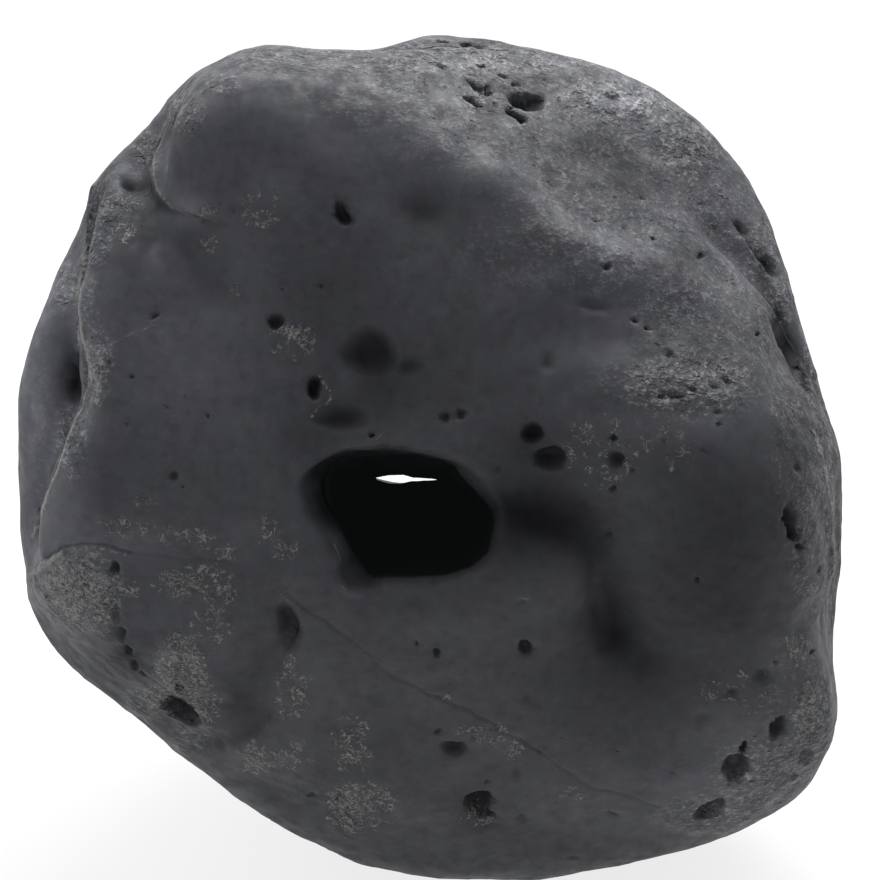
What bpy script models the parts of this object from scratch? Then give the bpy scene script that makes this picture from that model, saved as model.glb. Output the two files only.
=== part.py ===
"""A water-worn basalt river rock, as wide as a hand is long, with a hole worn right through it.

The stone is one solid. It starts as a ball whose points are pushed out to a rounded outline and pressed by
broad facets, then worn with hollows and grooves and left with swellings between them. Last, the hole is cut
through and the underside is cut flat where the stone rests. Metres, +Z up, standing on z = 0.
"""

import math

import bmesh
import bpy
import numpy as np
from mathutils import Matrix, Vector

MM = 0.001

# The stone as seen from its front, from this far above the horizon.
FRONT_TILT = math.radians(20)
RIGHTWARD = np.array([1.0, 0.0, 0.0])
UPWARD = np.array([0.0, math.sin(FRONT_TILT), math.cos(FRONT_TILT)])
TOWARDS = np.array([0.0, -math.cos(FRONT_TILT), math.sin(FRONT_TILT)])

# Its outline in that view: degrees anticlockwise from the right, and millimetres from the middle.
OUTLINE = [
    (0, 97.5), (10, 94), (20, 93), (30, 96), (40, 101), (50, 104), (60, 104.5), (75, 102),
    (90, 101.5), (98, 98.5), (105, 101), (112, 106.5), (120, 108.5), (130, 105), (140, 104.5),
    (150, 100.5), (160, 100), (170, 99.5), (180, 98.5), (190, 101), (200, 104.5), (210, 100.5),
    (220, 95.5), (232, 93.5), (245, 95), (258, 98), (270, 101), (285, 104), (300, 110),
    (312, 116), (320, 117.5), (327, 114.5), (336.5, 104.5), (341, 102.5), (350, 99.5),
]

FRONT_REACH = 88  # mm from the middle towards the front
BACK_REACH = 92
FRONT_FULLNESS = 2.6  # 2 is an ellipsoid, and more is boxier
BACK_FULLNESS = 2.4

# In the tables below a direction is an azimuth (0 faces the front, 90 the right side) and an elevation,
# both in degrees and from the middle of the stone.

# Broad facets: the direction each faces, its distance from the middle in mm, and how crisp its edges are.
FACETS = [
    (63, 54, 88, 20),  # the sloping top, on the right
    (-8, 20, 77, 18),  # the front, above the hole
    (2, -14, 76, 18),  # the front, below it
    (-35, -36, 87, 18),
    (6, -52, 91, 18),
    (100, -4, 91, 18),
    (170, 24, 84, 16),
    (-138, 8, 86, 14),
    (132, -18, 90, 14),
    (-95, -38, 88, 14),
    (178, -34, 88, 14),
]
FACET_FADE = 0.35  # the facets fade out this near the outline, which they leave as it is

# Wear: its depth in mm (a swelling's is negative), its half-width in mm, and its course.
WEAR = [
    # Behind the left lobe, and between it and the lobe above it.
    (11, 8, [(-80, 37), (-74, 34), (-68, 28), (-66, 20), (-65, 10), (-66, 2)]),
    (8, 8, [(-82, 52), (-72, 50), (-61, 46), (-50, 44), (-42, 42)]),
    (-4, 17, [(-48, 58)]),
    (-3, 16, [(-54, 30), (-50, 14)]),
    (3, 18, [(-21, 45)]),
    (3, 9, [(-24, 62), (-4, 58)]),
    (6, 6.5, [(12, 14), (19, 15), (25, 12), (27, 5), (29, -4), (31, -9)]),  # right of the hole
    (-6, 20, [(42, 9)]),  # the right lobe
    (4, 9, [(68, -12), (54, -11), (44, -13), (36, -15)]),  # under it
    (3, 10, [(19, 65), (30, 57), (44, 52)]),
    (-2.5, 9, [(16, 61), (33, 48), (49, 40)]),
    (3.5, 11, [(15, 49), (29, 41), (42, 36)]),
    (-3, 13, [(30, 28), (44, 27)]),  # the shelf over the right lobe
    (5, 5.5, [(79, 42), (77, 33), (76, 23), (77, 15)]),  # down the right side
    (3, 7, [(-27, -12), (-26, -20), (-33, -27)]),
    (6, 20, [(-150, 30)]),
    (5, 18, [(150, -10)]),
    (5, 15, [(178, 58)]),
    (6, 16, [(-115, -20)]),
    (5, 16, [(122, 36)]),
    (7, 9, [(-138, 52), (-148, 20), (-163, -12)]),
    (7, 9, [(100, -20), (125, -32), (150, -24)]),
]

# The hole, from front to back: distance behind the middle, its centre to the right, its half-width, its
# floor and its roof, all in mm, and how far its left side is tipped up, in degrees.
HOLE = [
    (-120, -9, 32, -4, 48, 9),
    (-84, -9, 24, -4, 35, 9),
    (-74, -9, 21.5, -1.5, 29.5, 8),
    (-62, -8.5, 19.5, -3, 21, 6),
    (-48, -8, 18.5, -7, 14.5, 3),
    (-20, -7.5, 18.5, -10, 10.5, 0),
    (10, -7, 19, -16, 8.5, 0),
    (40, -6.5, 20, -26, 7.5, 0),
    (70, -6, 22, -33, 8, 0),
    (88, -6, 25, -38, 12, 0),
    (130, -6, 32, -50, 20, 0),
]
HOLE_SIDES = 24
HOLE_FULLNESS = 2.5

BALL_CUTS = 25  # the ball is a cube of this many squares a side, blown up
UNDERSIDE = 98.5  # mm below the middle, where the stone is worn flat and rests
COLOUR = (0.055, 0.056, 0.060, 1.0)
ROUGHNESS = 0.7


def facing(azimuth, elevation):
    """The unit vector that faces this way."""
    a, e = math.radians(azimuth), math.radians(elevation)
    return np.array([math.sin(a) * math.cos(e), -math.cos(a) * math.cos(e), math.sin(e)])


def outline_radius(angles):
    """The outline's radius at these angles, on a smooth closed curve through OUTLINE's points."""
    turn = 360
    known = np.array([a for a, _ in OUTLINE], float)
    radii = np.array([r for _, r in OUTLINE], float)
    known = np.concatenate([known[-2:] - turn, known, known[:2] + turn])
    radii = np.concatenate([radii[-2:], radii, radii[:2]])
    slopes = np.gradient(radii, known)
    angles = np.mod(angles, turn)
    i = np.clip(np.searchsorted(known, angles, side="right") - 1, 0, len(known) - 2)
    span = known[i + 1] - known[i]
    s = (angles - known[i]) / span
    return (
        (1 + 2 * s) * (1 - s) ** 2 * radii[i]
        + s * (1 - s) ** 2 * span * slopes[i]
        + s**2 * (3 - 2 * s) * radii[i + 1]
        - s**2 * (1 - s) * span * slopes[i + 1]
    )


def ball():
    """A mesh of unit directions: a cube of even squares blown up into a ball."""
    mesh = bmesh.new()
    bmesh.ops.create_cube(mesh, size=2)
    bmesh.ops.subdivide_edges(mesh, edges=mesh.edges[:], cuts=BALL_CUTS - 1, use_grid_fill=True)
    quarter = math.pi / 4
    for vertex in mesh.verts:
        vertex.co = Vector([math.tan(c * quarter) for c in vertex.co]).normalized()
    return mesh


def smooth_step(values):
    """From 0 to 1, level at both ends."""
    values = np.clip(values, 0, 1)
    return values**2 * (3 - 2 * values)


def boulder_radius(ways):
    """Distance from the middle to the surface along each unit direction, before any wear, in mm."""
    towards = ways @ TOWARDS
    right, up = ways @ RIGHTWARD, ways @ UPWARD
    across = np.hypot(right, up)
    outline = outline_radius(np.degrees(np.arctan2(up, right)))
    fullness = np.where(towards > 0, FRONT_FULLNESS, BACK_FULLNESS)
    reach = np.where(towards > 0, FRONT_REACH, BACK_REACH)
    full = ((across / outline) ** fullness + (np.abs(towards) / reach) ** fullness) ** (-1 / fullness)
    pressed = full
    for azimuth, elevation, distance, crispness in FACETS:
        lean = np.maximum(ways @ facing(azimuth, elevation), 1e-6)
        pressed = (pressed**-crispness + (distance / lean) ** -crispness) ** (-1 / crispness)
    return full + (pressed - full) * smooth_step(np.abs(towards) / FACET_FADE)


def wear_depth(ways, radius):
    """How deep the hollows and grooves are along each unit direction, in mm."""
    depth = np.zeros(len(ways))
    for deepest, half_width, course in WEAR:
        stops = [facing(azimuth, elevation) for azimuth, elevation in course]
        nearest = np.full(len(ways), np.inf)
        for start, end in zip(stops, stops[1:] or stops):
            run = end - start
            along = np.clip((ways - start) @ run / max(run @ run, 1e-9), 0, 1)
            gap = np.linalg.norm(ways - start - along[:, None] * run, axis=1)
            nearest = np.minimum(nearest, gap)
        depth += deepest * np.exp(-((nearest * radius / half_width) ** 2))
    return depth


def rock_material():
    material = bpy.data.materials.new("basalt")
    material.use_nodes = True
    shader = material.node_tree.nodes["Principled BSDF"]
    shader.inputs["Base Color"].default_value = COLOUR
    shader.inputs["Roughness"].default_value = ROUGHNESS
    shader.inputs["Metallic"].default_value = 0.0
    return material


def new_object(name, mesh):
    data = bpy.data.meshes.new(name)
    mesh.to_mesh(data)
    mesh.free()
    made = bpy.data.objects.new(name, data)
    bpy.context.scene.collection.objects.link(made)
    return made


def make_boulder():
    """The whole stone, its middle at its object's origin."""
    mesh = ball()
    ways = np.array([v.co for v in mesh.verts])
    radius = boulder_radius(ways)
    points = ways * (radius - wear_depth(ways, radius))[:, None] * MM
    for vertex, point in zip(mesh.verts, points):
        vertex.co = point
    rock = new_object("river_rock", mesh)
    rock.data.materials.append(rock_material())
    rock.data.shade_smooth()
    return rock


def make_hole_cutter():
    """The hole's inside as a closed tube, from in front of the stone to behind it."""
    mesh = bmesh.new()
    rings = []
    for behind, centre, half_width, floor, roof, tip in HOLE:
        middle = Vector((centre, behind, (floor + roof) / 2))
        tipped = Matrix.Rotation(math.radians(tip), 3, "Y")
        ring = []
        for side in range(HOLE_SIDES):
            turn = 2 * math.pi * side / HOLE_SIDES
            right, up = math.cos(turn), math.sin(turn)
            swell = (abs(right) ** HOLE_FULLNESS + abs(up) ** HOLE_FULLNESS) ** (-1 / HOLE_FULLNESS)
            reach = Vector((half_width * swell * right, 0, (roof - floor) / 2 * swell * up))
            ring.append(mesh.verts.new((middle + tipped @ reach) * MM))
        rings.append(ring)
    for near, far in zip(rings, rings[1:]):
        for side in range(HOLE_SIDES):
            after = (side + 1) % HOLE_SIDES
            mesh.faces.new((near[side], near[after], far[after], far[side]))
    mesh.faces.new(rings[0][::-1])
    mesh.faces.new(rings[-1])
    bmesh.ops.recalc_face_normals(mesh, faces=mesh.faces)
    return new_object("hole_cutter", mesh)


def make_underside_cutter():
    """A slab below the stone, whose top is the flat that the stone rests on."""
    side, depth = 0.3, 0.05
    mesh = bmesh.new()
    bmesh.ops.create_cube(mesh, size=1)
    bmesh.ops.scale(mesh, vec=(side, side, depth), verts=mesh.verts)
    bmesh.ops.translate(mesh, vec=(0, 0, -UNDERSIDE * MM - depth / 2), verts=mesh.verts)
    return new_object("underside_cutter", mesh)


def cut(rock, cutter):
    cutter.hide_render = True
    cutter.display_type = "WIRE"
    cutter.parent = rock
    difference = rock.modifiers.new(cutter.name, "BOOLEAN")
    difference.operation = "DIFFERENCE"
    difference.solver = "EXACT"
    difference.object = cutter


def stand(rock):
    """Move the stone so that the middle of its box's bottom is the origin."""
    bpy.context.view_layer.update()
    shaped = rock.evaluated_get(bpy.context.evaluated_depsgraph_get())
    corners = np.array(shaped.bound_box)
    low, high = corners.min(axis=0), corners.max(axis=0)
    rock.location = (-(low[0] + high[0]) / 2, -(low[1] + high[1]) / 2, -low[2])


def build():
    for old in list(bpy.data.objects):
        bpy.data.objects.remove(old)
    rock = make_boulder()
    cut(rock, make_hole_cutter())
    cut(rock, make_underside_cutter())
    stand(rock)


build()
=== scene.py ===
import math
from collections import namedtuple

import bmesh
import bpy
import numpy as np
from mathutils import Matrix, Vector, noise
from mathutils.bvhtree import BVHTree


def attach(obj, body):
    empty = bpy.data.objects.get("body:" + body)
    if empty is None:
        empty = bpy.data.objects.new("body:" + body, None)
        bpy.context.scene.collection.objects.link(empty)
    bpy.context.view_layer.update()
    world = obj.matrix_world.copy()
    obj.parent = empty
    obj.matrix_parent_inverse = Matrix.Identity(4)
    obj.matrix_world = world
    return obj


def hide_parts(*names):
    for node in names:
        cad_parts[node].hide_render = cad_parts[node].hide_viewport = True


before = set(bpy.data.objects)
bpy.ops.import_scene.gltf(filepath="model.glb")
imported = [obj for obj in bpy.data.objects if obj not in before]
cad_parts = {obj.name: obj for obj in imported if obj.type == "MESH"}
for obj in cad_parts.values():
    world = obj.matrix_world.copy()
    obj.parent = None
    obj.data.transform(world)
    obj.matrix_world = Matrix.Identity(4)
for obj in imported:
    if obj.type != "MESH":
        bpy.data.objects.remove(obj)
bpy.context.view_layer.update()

MM = 0.001
ROCK = "river_rock"
SEED = 7
noise.seed_set(SEED)

# ---------------- camera

# Pixels are those of the photograph, 880 wide and high, with y down.
FRAME_PIXELS = 880
CENTRE = FRAME_PIXELS / 2
MIDDLE = Vector((0.73, -3.98, 98.5)) * MM  # the middle of the stone
MIDDLE_PIXEL = (436, 462)
PIXEL = 200 * MM / 824  # the size of a pixel at the middle
LOOKING_DOWN = math.radians(20)
LENS, SENSOR = 100.0, 36.0  # mm
RIGHT = Vector((1, 0, 0))
UP = Vector((0, math.sin(LOOKING_DOWN), math.cos(LOOKING_DOWN)))
TOWARDS = Vector((0, -math.cos(LOOKING_DOWN), math.sin(LOOKING_DOWN)))
TARGET = MIDDLE + RIGHT * (CENTRE - MIDDLE_PIXEL[0]) * PIXEL + UP * (MIDDLE_PIXEL[1] - CENTRE) * PIXEL
EYE = TARGET + TOWARDS * (FRAME_PIXELS * PIXEL * LENS / SENSOR)


def new_object(name, data):
    made = bpy.data.objects.new(name, data)
    bpy.context.scene.collection.objects.link(made)
    return made


def add_camera():
    data = bpy.data.cameras.new("camera")
    data.lens = LENS
    data.sensor_width = SENSOR
    data.dof.use_dof = False
    data.clip_start = 0.01
    camera = new_object("camera", data)
    camera.location = EYE
    camera.rotation_euler = (-TOWARDS).to_track_quat("-Z", "Y").to_euler()
    bpy.context.scene.camera = camera


def pixels_of(points):
    """The pixels that these points show at, as two arrays, and each one's metres in a pixel."""
    away = points - np.array(EYE)
    metres = -(away @ np.array(TOWARDS)) * SENSOR / LENS / FRAME_PIXELS
    return CENTRE + away @ np.array(RIGHT) / metres, CENTRE - away @ np.array(UP) / metres, metres


# ---------------- what the stone shows

# Places and widths are in pixels of the photograph, unless they say otherwise.
Stroke = namedtuple("Stroke", "height width course")  # mm out of the surface, half-width
Step = namedtuple("Step", "height width fade course")  # mm that the side on the course's right is higher
Nudge = namedtuple("Nudge", "x y wide high by before")  # half-widths, to the right, in front of these mm
Pit = namedtuple("Pit", "x y wide high depth soft turn", defaults=(0,))  # mm, 0 crisp to 1 soft, degrees
Spot = namedtuple("Spot", "place radius depth soft")  # m, m, mm or a crust's strength, 0 crisp to 1 soft
Patch = namedtuple("Patch", "x y wide high strength")  # half-widths, how strong


def table(kind, *rows):
    """The rows, as values of this kind."""
    return [kind(*row) for row in rows]


# Broad swells and, below zero, dips: mm out of the surface.
SWELLS = table(
    Patch,
    (235, 120, 75, 60, 2), (139, 173, 13, 14, -3), (154, 238, 10, 18, -1.5), (125, 290, 40, 55, 1.5),
    (320, 275, 45, 50, -2.5), (370, 400, 75, 70, -5), (425, 213, 26, 22, -1.8), (570, 335, 90, 24, -1.6),
    (690, 405, 70, 26, 1.6), (720, 470, 75, 70, 1.5), (120, 430, 40, 60, 1), (500, 160, 60, 30, 1),
    (600, 160, 50, 18, -1.4), (480, 562, 26, 12, -1.5), (252, 705, 22, 34, -1.2), (440, 610, 60, 26, 1),
    (760, 720, 60, 60, 2.5), (532, 514, 24, 18, -3), (568, 520, 24, 20, -3), (592, 545, 18, 24, -2.2),
    (604, 580, 15, 26, -2.6), (612, 615, 15, 24, -3.2), (627, 643, 17, 18, -2.2), (650, 664, 22, 13, -1.2),
    (740, 650, 90, 38, -1.5), (71, 376, 12, 32, -2.5), (28, 428, 20, 46, -1.3), (32, 612, 14, 24, 0.9),
    (812, 776, 20, 24, -1.2),
)

STEPS = table(
    Step,
    # the ridge at the upper right and the lip along the top
    (3, 1.6, 13, [(744, 242), (754, 257), (768, 276)]),
    (1, 1.2, 9, [(400, 58), (418, 50), (435, 47), (470, 48), (530, 52)]),
    # the front's edge over the left lobe
    (3, 3, 26, [
        (45, 500), (60, 465), (75, 425), (84, 395), (84, 360), (80, 300), (77, 268), (87, 230), (89, 190),
    ]),
    # the lobes' edges at the lower left and the upper left
    (1.2, 2.5, 22, [(212, 745), (240, 740), (262, 730), (278, 704), (277, 672), (284, 655)]),
    (4, 4, 28, [(190, 214), (170, 208), (157, 200), (149, 182), (154, 160), (172, 118)]),
)

# Where the surface is smoothed.
SOFT = table(Patch, (716, 244, 30, 26, 1))

# Edges to move in the view: the front's edge over the left lobe, and the ridge at the upper right.
NUDGES = table(
    Nudge,
    (64, 400, 34, 34, 20, -40), (58, 440, 30, 24, 9, -40), (80, 368, 16, 28, 6, -40),
    (796, 356, 24, 36, -13, -28),
)

# Cracks, and last the raised pale vein at the left.
CRACKS = table(
    Stroke,
    (-0.5, 1.6, [(47, 558), (61, 548), (74, 545), (91, 543), (106, 545), (120, 550), (131, 552)]),
    (-0.25, 1.6, [(131, 552), (154, 554), (175, 558), (195, 558), (216, 560), (238, 563)]),
    (-0.3, 1.6, [(286, 592), (298, 604), (320, 618), (355, 642), (389, 674), (406, 682), (437, 698)]),
    (-0.4, 1.6, [(437, 698), (455, 704), (471, 711), (487, 720), (504, 732), (523, 743), (540, 753)]),
    (-0.25, 1.6, [(540, 753), (575, 778), (600, 790), (640, 800), (667, 811)]),
    (0.6, 4, [(28, 579), (43, 566), (63, 554)]),
)

PITS = table(
    Pit,
    (342, 214, 16, 27, 3.2, 0.15, -22), (275, 321, 18, 18, 2.2, 0.15, -20),
    (370, 353, 54, 54, 4.5, 0.6, -20), (409, 366, 34, 26, 1.6, 0.7), (314, 388, 15, 26, 3.2, 0.35),
    (342, 418, 60, 30, 2.2, 0.55, 5), (372, 435, 8, 5, 1.2, 0.2, -30), (444, 417, 12, 14, 1.5, 0.3),
    (460, 414, 13, 13, 1.5, 0.3), (452, 415, 27, 13, 0.8, 0.6), (533, 434, 25, 25, 3.2, 0.3, 10),
    (550, 459, 33, 28, 3.6, 0.25), (614, 438, 9, 10, 1.5, 0.2), (617, 460, 20, 21, 2.2, 0.4),
    (612, 489, 8, 8, 1.2, 0.3), (548, 363, 20, 22, 1, 0.8), (322, 286, 5, 5, 0.8, 0.3),
    (154, 317, 13, 6, 1.1, 0.3, -30), (132, 376, 6, 6, 0.8, 0.4), (169, 407, 5, 4, 0.8, 0.3),
    (208, 415, 4, 7, 0.7, 0.3), (127, 424, 4, 4, 0.6, 0.3), (174, 476, 13, 12, 1.4, 0.5),
    (183, 487, 4, 4, 0.6, 0.3), (166, 454, 9, 8, 0.6, 0.7), (115, 568, 11, 14, 1.8, 0.4),
    (181, 712, 46, 21, 5, 0.15, 36), (179, 687, 12, 6, 1.2, 0.3, 30), (114, 612, 12, 24, 1.2, 0.7, -15),
    (121, 634, 8, 16, 1.6, 0.5, -15), (127, 650, 7, 12, 1.8, 0.4, -20), (134, 665, 8, 12, 1.8, 0.4, -30),
    (142, 674, 9, 5, 1.4, 0.4, 40), (288, 627, 25, 55, 3.2, 0.6, -17), (437, 653, 9, 10, 1.4, 0.2),
    (417, 644, 5, 5, 0.9, 0.2), (390, 648, 9, 4, 0.4, 0.5), (525, 648, 16, 15, 2.2, 0.25),
    (378, 698, 24, 20, 0.7, 0.3), (454, 749, 28, 17, 2.2, 0.4, 5), (439, 732, 12, 6, 0.9, 0.4, -40),
    (478, 803, 28, 27, 5, 0.15, 20), (489, 815, 14, 7, 2, 0.3, 25), (527, 699, 15, 15, 0.9, 0.7),
    (523, 818, 10, 12, 0.8, 0.5), (338, 797, 11, 10, 1, 0.4), (311, 795, 9, 6, 0.8, 0.4),
    (517, 774, 11, 15, 0.9, 0.5, -30), (487, 782, 6, 5, 0.6, 0.3), (735, 768, 27, 30, 3.8, 0.2, 20),
    (744, 750, 8, 14, 2.4, 0.3, 20), (710, 810, 38, 15, 3.4, 0.2, -27), (779, 728, 13, 30, 3.4, 0.25, 22),
    (806, 757, 13, 18, 1.6, 0.4, 35), (795, 777, 8, 8, 1, 0.4), (812, 652, 5, 8, 1, 0.3, 15),
    (763, 675, 22, 20, 1.4, 0.5), (733, 692, 15, 9, 1, 0.4, -10), (703, 717, 20, 12, 0.8, 0.5, -15),
    (776, 662, 5, 5, 0.8, 0.3), (673, 773, 10, 4, 0.5, 0.4, 10), (789, 517, 12, 24, 3.2, 0.15, -18),
    (794, 532, 10, 24, 3, 0.15, -14), (801, 547, 10, 7, 1.8, 0.3), (797, 468, 9, 11, 0.9, 0.5, -20),
    (820, 570, 5, 10, 1, 0.3, 15), (698, 580, 6, 6, 1, 0.2), (608, 535, 9, 6, 0.9, 0.4, 10),
    (633, 470, 5, 5, 0.8, 0.2), (665, 441, 4, 7, 0.7, 0.3), (669, 455, 4, 4, 0.6, 0.2),
    (703, 451, 4, 5, 0.7, 0.2), (719, 424, 5, 6, 0.9, 0.3), (718, 411, 11, 6, 0.9, 0.4),
    (677, 396, 24, 6, 1.1, 0.4, 8), (661, 396, 8, 5, 0.9, 0.3, -20), (693, 390, 12, 5, 0.8, 0.4, 10),
    (741, 405, 11, 4, 0.7, 0.4, 10), (716, 387, 12, 4, 0.6, 0.4, 5), (528, 101, 37, 19, 5.5, 0.4, 8),
    (517, 116, 25, 7, 3, 0.15, 28), (473, 101, 24, 4.5, 1.8, 0.3, 29), (477, 86, 26, 5, 1.8, 0.35, 36),
    (488, 90, 10, 5, 2, 0.2, 42), (471, 45, 25, 6, 2.2, 0.25, 14), (443, 42, 13, 5, 1.8, 0.3, 10),
    (442, 67, 12, 3, 1.4, 0.3, 18), (481, 65, 13, 3, 1.4, 0.3), (512, 108, 5, 3, 1, 0.2),
    (440, 59, 60, 5, 0.5, 0.6, 2), (516, 85, 12, 5, 1.2, 0.4, 10), (502, 76, 12, 4, 0.9, 0.4, 10),
    (495, 105, 6, 3, 0.9, 0.3, 40), (613, 96, 25, 5, 1.2, 0.6, 12), (741, 228, 7, 20, 1.8, 0.5, -30),
    (765, 264, 11, 36, 2.2, 0.8, -38), (789, 350, 12, 92, 2.8, 0.9, -26), (75, 378, 22, 74, 3, 0.9, 6),
    (593, 307, 32, 9, 0.8, 0.5, 10), (608, 267, 9, 7, 1.2, 0.3), (701, 257, 9, 5, 1, 0.3, 20),
    (757, 334, 6, 5, 1, 0.3), (648, 329, 9, 4, 1, 0.3, 5), (634, 321, 8, 4, 0.9, 0.3, 5),
    (654, 237, 7, 3, 0.8, 0.3, 15), (645, 199, 8, 3, 0.8, 0.3, 10), (595, 222, 7, 3, 0.8, 0.3),
    (729, 379, 7, 5, 0.8, 0.3), (670, 355, 9, 5, 0.8, 0.3), (498, 468, 9, 11, 0.9, 0.5),
    (612, 813, 16, 5, 0.7, 0.3, 22), (573, 857, 15, 4, 0.5, 0.3), (523, 602, 9, 4, 0.5, 0.3),
    (234, 212, 5, 5, 0.6, 0.4), (401, 259, 12, 11, 0.5, 0.8), (134, 186, 26, 12, 1.4, 0.8),
)

# Pale crust that lies in crumbs and worms.
CRUSTS = table(
    Patch,
    (78, 590, 34, 36, 1), (104, 600, 16, 30, 0.9), (126, 589, 12, 8, 0.7), (196, 580, 38, 16, 0.75),
    (222, 590, 18, 14, 0.6), (212, 622, 18, 20, 0.5), (182, 668, 24, 34, 0.95), (152, 698, 14, 12, 0.9),
    (205, 705, 14, 22, 0.6), (350, 808, 20, 24, 1), (372, 805, 24, 22, 0.6), (352, 745, 18, 26, 0.7),
    (256, 757, 14, 16, 0.8), (290, 756, 22, 14, 0.5), (292, 690, 16, 30, 0.6), (126, 526, 26, 9, 0.7),
    (142, 500, 12, 9, 0.6), (270, 530, 12, 14, 0.5), (286, 548, 12, 10, 0.6), (92, 380, 12, 36, 0.5),
    (262, 208, 18, 20, 0.3), (206, 212, 12, 8, 0.7), (208, 246, 12, 10, 0.5), (240, 288, 10, 8, 0.5),
    (292, 340, 22, 18, 0.35), (486, 733, 24, 9, 0.8), (447, 695, 7, 6, 0.7), (516, 752, 10, 12, 0.6),
    (575, 794, 14, 6, 0.5), (798, 650, 14, 14, 0.7), (808, 712, 18, 28, 0.8), (770, 768, 14, 12, 0.6),
    (676, 445, 20, 28, 0.25), (608, 452, 40, 34, 0.3), (690, 376, 60, 30, 0.15), (124, 232, 12, 12, 0.4),
    (125, 205, 24, 8, 0.6), (811, 589, 8, 6, 0.6), (740, 690, 40, 24, 0.2), (185, 538, 34, 10, 0.4),
    (225, 552, 14, 8, 0.5), (478, 818, 18, 6, 0.4),
)

# Pale veins and lines, and painted highlights on edges: how pale from 0 to 1, half-width in pixels and
# course.
PALE_LINES_AND_PAINTED_HIGHLIGHTS = table(
    Stroke,
    (1, 3.2, [(22, 585), (43, 567), (63, 553)]),
    # painted highlights along the right edge and the edges of the lobes at the left
    (0.6, 1.3, [(812, 432), (822, 455), (828, 482), (832, 520), (834, 560), (834, 600), (833, 627)]),
    (0.6, 1.6, [(172, 112), (160, 135), (154, 160), (153, 176), (158, 192), (172, 206), (190, 215)]),
    (0.8, 2.4, [
        (90, 228), (85, 255), (79, 290), (81, 325), (84, 355), (86, 385), (80, 408), (72, 432), (64, 450),
    ]),
    (0.8, 2.4, [(64, 450), (55, 475), (46, 500), (34, 536)]),
    # painted highlights along the lip at the top
    (0.4, 1.4, [(420, 47), (450, 49), (490, 49), (530, 51)]),
    (0.35, 1.2, [(400, 59), (430, 62), (475, 62)]),
    (0.8, 1, [(79, 549), (99, 547), (113, 552), (128, 554)]),
    (0.6, 0.9, [(195, 545), (213, 549), (232, 547), (244, 552)]),
    (0.8, 1, [(318, 376), (326, 386), (331, 392), (330, 401), (319, 407), (312, 416)]),
    (0.6, 1, [(381, 424), (383, 433), (376, 440)]),
    (0.5, 1, [(464, 724), (480, 732), (497, 745), (515, 759)]),
    (0.6, 1.2, [(518, 599), (530, 597)]),
    (0.45, 1.6, [(102, 352), (116, 342), (133, 333), (150, 328), (164, 325)]),
    (0.5, 1, [(278, 592), (290, 603), (303, 613)]),
    (0.35, 2.5, [(530, 130), (543, 148), (552, 165), (566, 178)]),
    # painted glints on the hole's rim
    (0.5, 1, [(333, 545), (338, 552), (342, 560)]),
    (0.5, 1, [(341, 586), (347, 592), (352, 594)]),
)
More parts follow.
